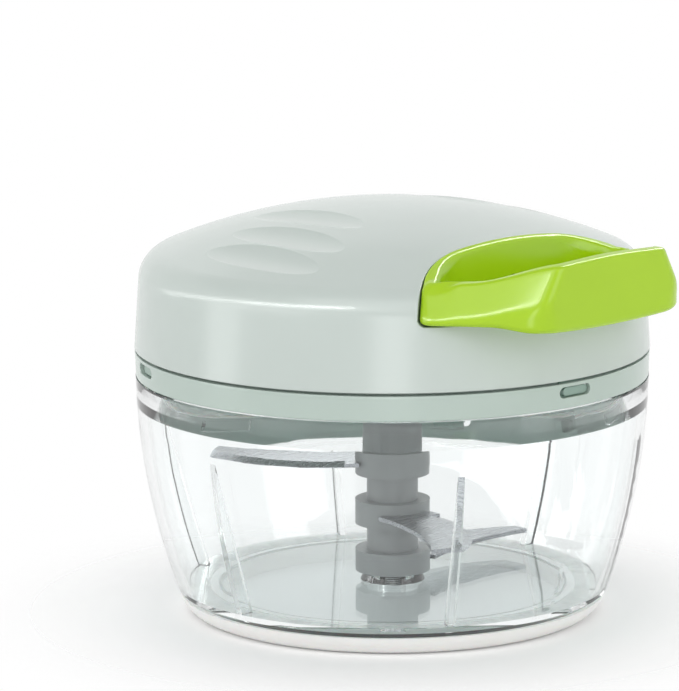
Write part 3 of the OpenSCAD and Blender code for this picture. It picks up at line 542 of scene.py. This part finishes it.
# Where the bar changes along the loop: the place at which each change starts, and its run.
nose_x = pocket_back + 8
front_change = (lid_r, handle_reach)
dip_change = (lid_r - 1, handle_reach)
rise_change = (lid_r - 9, handle_reach + 8)
bar_change = (nose_x, 8)
dish_change, dish_end = (14, 12), (nose_x + 1, 3)
nose_change, nose_end = (nose_x - 3.5, 3), (nose_x + 2, 6)
lean_change = (nose_x + 7.5, 18)

# Divisions of the outline's three bends and four straight lines, and of the bar's edges and walls.
bend_steps = (24, 16, 20)
line_steps = (16, 8, 24, 12)
edge_steps, dish_steps, wall_steps = 8, 12, 16


def rounded(p0, p1, p2, r, steps):
    """Points of the round corner at p1 on the way from p0 to p2."""
    a, b = (p0 - p1).normalized(), (p2 - p1).normalized()
    slope = a.angle(b) / 2
    centre = p1 + (a + b).normalized() * r / math.sin(slope)
    first, last = p1 + a * r / math.tan(slope) - centre, p1 + b * r / math.tan(slope) - centre
    turn = math.pi - 2 * slope
    shares = [i / steps for i in range(steps + 1)]
    return [centre + (first * math.sin(turn * (1 - share)) + last * math.sin(turn * share)) / math.sin(turn)
            for share in shares]


def between(a, b, steps):
    """The points that divide the line from a to b, without its ends."""
    return [a.lerp(b, i / steps) for i in range(1, steps)]


def handle_plan(back_x, back_half, run, front, front_half, rounds):
    """One closed outline of the loop, seen from above."""
    back_end = Vector((back_x, back_half))
    side_end = back_end + run * Vector((math.cos(pocket_slant), math.sin(pocket_slant)))
    corners = [Vector((back_x, 0)), back_end, side_end, Vector((front, front_half)), Vector((front, 0))]
    line = corners[:1]
    for i, r in enumerate(rounds):
        bend = rounded(*corners[i:i + 3], r, bend_steps[i])
        line += between(line[-1], bend[0], line_steps[i]) + bend
    line += between(line[-1], corners[-1], line_steps[-1]) + corners[-1:]
    return line + [Vector((p.x, -p.y)) for p in reversed(line[1:-1])]


def outer_plan(width, run, r_end, r_front):
    """Outline of the loop's outside."""
    return handle_plan(back, half, run, front_x, width / 2, (back_round, r_end, r_front))


def inner_plan(width, r_front, wall, bar):
    """Outline of the loop's inside, with a back wall and a front bar of given thickness."""
    in_half = half - end_t / math.cos(pocket_slant) + wall * math.tan(pocket_slant)
    run = in_run + (back_t - wall) / math.cos(pocket_slant)
    return handle_plan(back + wall, in_half, run, front_x - bar, width / 2 - bar / 2,
                       (in_back_round, in_end_round, r_front))


def ramp(at, first, run):
    """Smooth step from 0 at a first place to 1 after a run."""
    share = min(1.0, max(0.0, (at - first) / run))
    return share * share * (3 - 2 * share)


def lid_skin(r):
    """Height of the lid's outside at a distance from its axis."""
    if r < fillet_at_r * dome_r / (dome_r - shoulder_r):
        return dome_z + math.sqrt(dome_r ** 2 - r ** 2)
    return fillet_z + math.sqrt(max(0, shoulder_r ** 2 - (min(r, wall_top_r) - fillet_at_r) ** 2))


def lean_at(g, begin):
    """How far the bar has gone from its bottom outline to its top one, at a share of its height."""
    if g < begin - lean_soft:
        return 0
    if g < begin + lean_soft:
        return (g - begin + lean_soft) ** 2 / (4 * lean_soft * (1 - begin))
    return (g - begin) / (1 - begin)


def bar_outline(wide, top_wide, tall, nose, dish):
    """The bar's section in shares of its width and height, from its outer bottom edge to its inner one."""
    low_f, low_g = edge_round / wide, edge_round / tall
    out_f, out_g = min(nose / top_wide, out_round_most), nose / tall
    in_f = min((top_round + dish_w * dish) / top_wide, in_round_most)
    in_g = (top_round + dish_h * dish) / tall
    flat = quarter(1 - low_f, low_g, low_f, low_g, -90, edge_steps)
    flat += [(1, low_g + (1 - out_g - low_g) * i / wall_steps) for i in range(1, wall_steps)]
    flat += quarter(1 - out_f, 1 - out_g, out_f, out_g, 0, edge_steps)
    flat += quarter(in_f, 1 - in_g, in_f, in_g, 90, dish_steps)
    flat += [(0, 1 - in_g + (low_g + in_g - 1) * i / wall_steps) for i in range(1, wall_steps)]
    return flat + quarter(low_f, low_g, low_f, low_g, 180, edge_steps)


def handle_section(in_low, out_low, crease, in_top, out_top):
    """Points round the upright bar at one place of the loop, where its five outlines pass."""
    middle = max(0, 1 - (2 * out_low.y / grip_w) ** 2) * ramp(out_low.x, *front_change)
    low = handle_z - front_dip * ramp(out_low.x, *dip_change) - belly * middle
    bar = handle_z + rim_h + front_rise * ramp(in_top.x, *rise_change)
    bar += arch * ramp(-abs(in_top.y), -grip_w / 2, grip_w / 2) * ramp(in_top.x, *front_change)
    high_in = max(bar, lid_skin(min(in_top.length, fillet_at_r)) + rim_in_proud)
    to_bar = ramp(out_top.x, *bar_change)
    high_out = (lid_skin(out_top.length) + rim_out_proud) * (1 - to_bar) + (high_in - bar_fall) * to_bar
    dish = ramp(abs(in_top.y), *dish_change) * (1 - ramp(in_top.x, *dish_end))
    nose = top_round + nose_round * ramp(out_top.x, *nose_change) * (1 - ramp(out_top.x, *nose_end))
    begin = lean_low + lean_more * ramp(out_low.x, *lean_change)
    wide, top_wide = (out_low - in_low).length, (out_top - in_top).length
    ring = []
    for f, g in bar_outline(wide, top_wide, high_in - low, nose, dish):
        outer = out_low.lerp(crease, ramp(g, begin - crease_from, crease_over))
        p = in_low.lerp(outer, f).lerp(in_top.lerp(out_top, f), lean_at(g, begin))
        ring.append(Vector((p.x, p.y, low + (high_in + (high_out - high_in) * f - low) * g)) * MM)
    return ring


outlines = [
    inner_plan(grip_w, in_low_corner_r, back_t, grip_t),
    outer_plan(grip_w, end_run, end_round, low_corner_r),
    outer_plan(grip_w, end_run, end_round, crease_r),
    inner_plan(grip_top_w, in_top_corner_r, back_top_t, grip_top_t),
    outer_plan(grip_top_w, end_top_run, end_top_round, top_corner_r)]
handle = loft("handle_loop", [handle_section(*points) for points in zip(*outlines)], closed=True)

# A hole for the cord goes through the back wall, with a wider recess for the knot on its inner side.
hole_gap, recess_fit = 0.3, 0.05
hole_r = cord_r + hole_gap
recess_r = 2.4 * cord_r + hole_gap
recess_x = knot_x - recess_fit
drill_sides = 64
for x, r in ((pocket_back, hole_r), (recess_x, recess_r)):
    drill_mesh = bmesh.new()
    turned = Matrix.Translation(Vector((x + back_t, 0, cord_z)) * MM) @ Matrix.Rotation(math.pi / 2, 4, "Y")
    bmesh.ops.create_cone(drill_mesh, cap_ends=True, segments=drill_sides, radius1=r * MM, radius2=r * MM,
                          depth=2 * back_t * MM, matrix=turned)
    drill = into_scene("drill", drill_mesh)
    cut = handle.modifiers.new("drill", "BOOLEAN")
    cut.object = drill
    cut.solver = "EXACT"
    drilled = handle.evaluated_get(bpy.context.evaluated_depsgraph_get())
    handle.data = bpy.data.meshes.new_from_object(drilled)
    handle.modifiers.clear()
    bpy.data.objects.remove(drill)
handle.data.set_sharp_from_angle(angle=math.radians(40))

# Gloss ABS: clear strong lime, mirror-like skin, with a faint orange-peel from the polished mould.
lime_drift_mm = 18
peel_mm = 1.6
handle_abs, tree = start("abs_lime_gloss_moulded")
place = add(tree, "ShaderNodeTexCoord")
drift = add(tree, "ShaderNodeTexNoise", Vector=place.outputs["Object"], Scale=1 / (lime_drift_mm * MM),
            Detail=2.0)
shade = add(tree, "ShaderNodeMix", data_type="RGBA", Factor=drift.outputs["Fac"], in_6=linear("#A6CE08"),
            in_7=linear("#ABD30E"))
peel = add(tree, "ShaderNodeTexNoise", Vector=place.outputs["Object"], Scale=1 / (peel_mm * MM), Detail=1.0)
rough = add(tree, "ShaderNodeMapRange", Value=peel.outputs["Fac"], To_Min=0.16, To_Max=0.24)
dent = add(tree, "ShaderNodeBump", Height=peel.outputs["Fac"], Strength=0.03, Distance=0.05 * MM)
skin = add(tree, "ShaderNodeBsdfPrincipled", Base_Color=shade.outputs[2], Roughness=rough.outputs[0],
           IOR=1.53, Normal=dent.outputs[0])
add(tree, "ShaderNodeOutputMaterial", Surface=skin.outputs[0])
dress(handle, handle_abs)
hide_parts("pull_handle")
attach(handle, "handle")


# Studio
# A white paper floor that fades into a white surround, and soft lamps on four sides. Strip lamps that show
# only in gloss draw the bands down the lid's wall, the highlight round its shoulder and the handle's rim.
scene = bpy.context.scene
scene.view_settings.view_transform = "Standard"
floor_mesh = bmesh.new()
bmesh.ops.create_circle(floor_mesh, cap_ends=True, segments=96, radius=1.2)
floor = into_scene("floor", floor_mesh)

# Matt white paper: it fades out round the chopper, and is whole only for the light that bounces off it. It
# glows a little to the eye and in reflections, and lights nothing by that.
fade_from, fade_to = 0.045, 0.11
floor_white, tree = start("paper_white_matt")
place = add(tree, "ShaderNodeTexCoord")
reach = add(tree, "ShaderNodeVectorMath", operation="LENGTH", in_0=place.outputs["Object"])
fade = add(tree, "ShaderNodeMapRange", interpolation_type="SMOOTHSTEP", Value=reach.outputs["Value"],
           From_Min=fade_from, From_Max=fade_to, To_Min=1.0, To_Max=0.0)
paper = add(tree, "ShaderNodeBsdfDiffuse", Color=linear("#F4F4F4"))
ray = add(tree, "ShaderNodeLightPath")
solid = add(tree, "ShaderNodeMath", operation="MAXIMUM", in_0=fade.outputs[0],
            in_1=ray.outputs["Is Diffuse Ray"])
seen = add(tree, "ShaderNodeMath", operation="SUBTRACT", in_0=1.0, in_1=ray.outputs["Is Diffuse Ray"])
lift = add(tree, "ShaderNodeMapRange", Value=seen.outputs[0], To_Min=0.0, To_Max=0.1)
glow = add(tree, "ShaderNodeEmission", Color=linear("#FFFFFF"), Strength=lift.outputs[0])
both = add(tree, "ShaderNodeAddShader", in_0=paper.outputs[0], in_1=glow.outputs[0])
gone = add(tree, "ShaderNodeBsdfTransparent")
faded = add(tree, "ShaderNodeMixShader", in_0=solid.outputs[0], in_1=gone.outputs[0], in_2=both.outputs[0])
add(tree, "ShaderNodeOutputMaterial", Surface=faded.outputs[0])
dress(floor, floor_white)

# The surround is white to the eye and in reflections, and darker high up, where the studio's ceiling is.
world = bpy.data.worlds.new("studio")
scene.world = world
world.use_nodes = True
tree = world.node_tree
tree.nodes.clear()
toward = add(tree, "ShaderNodeTexCoord")
height = add(tree, "ShaderNodeSeparateXYZ", Vector=toward.outputs["Generated"])
ceiling = add(tree, "ShaderNodeMapRange", interpolation_type="SMOOTHSTEP", Value=height.outputs["Z"],
              From_Min=0.56, From_Max=0.66, To_Min=1.0, To_Max=0.6)
path = add(tree, "ShaderNodeLightPath")
seen = add(tree, "ShaderNodeMath", operation="MAXIMUM", in_0=path.outputs["Is Camera Ray"],
           in_1=path.outputs["Is Glossy Ray"])
seen = add(tree, "ShaderNodeMath", operation="MAXIMUM", in_0=seen.outputs[0],
           in_1=path.outputs["Is Transmission Ray"])
level = add(tree, "ShaderNodeMapRange", Value=seen.outputs[0], To_Min=0.7, To_Max=1.0)
light = add(tree, "ShaderNodeMath", operation="MULTIPLY", in_0=level.outputs[0], in_1=ceiling.outputs[0])
sky = add(tree, "ShaderNodeBackground", Color=linear("#FFFFFF"), Strength=light.outputs[0])
add(tree, "ShaderNodeOutputWorld", Surface=sky.outputs[0])

# The camera's fit to the photograph: its turns in radians, its place in metres and its lens in pixels. In
# its frame +X is the photograph's right and +Y is away, and the handle points right and nearer.
yaw, pitch, roll = -0.0106, 0.1882, -0.0045
camera_place = (0, -1.1915, 0.2913)
lens_px, photo_px, sensor_mm = 5046, 691, 36
handle_right, handle_nearer = 0.7133, 0.7009
view_turn = Matrix.Rotation(math.atan2(handle_nearer, handle_right), 3, "Z")
aim_z = 0.07


def lamp(name, spot, wide, deep, power, lights=True, shows=True):
    """A lamp at a spot of the camera's frame, pointed at the lid. It lights, shows in gloss, or both."""
    light = bpy.data.lights.new(name, "AREA")
    light.shape = "RECTANGLE"
    light.size = wide
    light.size_y = deep
    light.energy = power
    piece = bpy.data.objects.new(name, light)
    piece.location = view_turn @ Vector(spot)
    piece.visible_diffuse = lights
    piece.visible_glossy = shows
    piece.rotation_euler = (Vector((0, 0, aim_z)) - piece.location).to_track_quat("-Z", "Y").to_euler()
    scene.collection.objects.link(piece)


lamp("left_soft", (-1.0, -0.7, 0.5), 0.8, 0.8, 2.3)
lamp("right_soft", (1.0, -0.7, 0.5), 0.8, 0.8, 3.0)
lamp("front_soft", (-0.3, -0.9, 1.1), 1.2, 1.0, 4.8)
lamp("back_soft", (0.0, 1.0, 0.8), 1.0, 0.6, 5.6, shows=False)
lamp("left_strip", (-1.23, -0.24, 0.1), 0.4, 0.6, 1.6, lights=False)
lamp("front_strip", (0.0, -1.4, 0.05), 0.4, 0.6, 1.8, lights=False)

# A row of small strips round the left front shows as one long highlight on the lid's shoulder. They sink and
# get dimmer toward the left.
key_rise, key_sink = 38, 0.0026
key_wide, key_deep, key_power = 0.19, 0.12, 1.15
for degrees in range(25, 125, 10):
    side = math.radians(degrees)
    rise = math.tan(math.radians(key_rise - key_sink * degrees ** 2))
    lamp(f"key_strip_{degrees}", (-math.sin(side), -math.cos(side), aim_z + rise), key_wide, key_deep,
         key_power * math.cos(side / 2) ** 3, lights=False)

# A row of small strips shows as a bright line on the rounded edge of the handle's rim. Each is where that
# edge, which leans out of the pocket, mirrors it toward the camera.
rim_lean = math.radians(38)
rim_far, rim_size, rim_power = 1.2, 0.24, 2.2
to_camera = Vector((0, -math.cos(pitch), math.sin(pitch)))
for degrees in range(30, 70, 10):
    side = math.radians(degrees)
    edge = Vector((math.sin(rim_lean) * math.cos(side), -math.sin(rim_lean) * math.sin(side),
                   math.cos(rim_lean)))
    mirrored = 2 * to_camera.dot(edge) * edge - to_camera
    lamp(f"rim_strip_{degrees}", rim_far * mirrored, rim_size, rim_size, rim_power, lights=False)

ahead = Vector((math.sin(yaw) * math.cos(pitch), math.cos(yaw) * math.cos(pitch), -math.sin(pitch)))
right = Vector((math.cos(yaw), -math.sin(yaw), 0))
up = right.cross(ahead)
right, up = right * math.cos(roll) + up * math.sin(roll), up * math.cos(roll) - right * math.sin(roll)
axes = Matrix((right, up, -ahead)).transposed()
camera_data = bpy.data.cameras.new("camera")
camera_data.sensor_fit = "VERTICAL"
camera_data.sensor_height = sensor_mm
camera_data.lens = lens_px * sensor_mm / photo_px
camera = bpy.data.objects.new("camera", camera_data)
camera.matrix_world = Matrix.Translation(view_turn @ Vector(camera_place)) @ (view_turn @ axes).to_4x4()
scene.collection.objects.link(camera)
scene.camera = camera
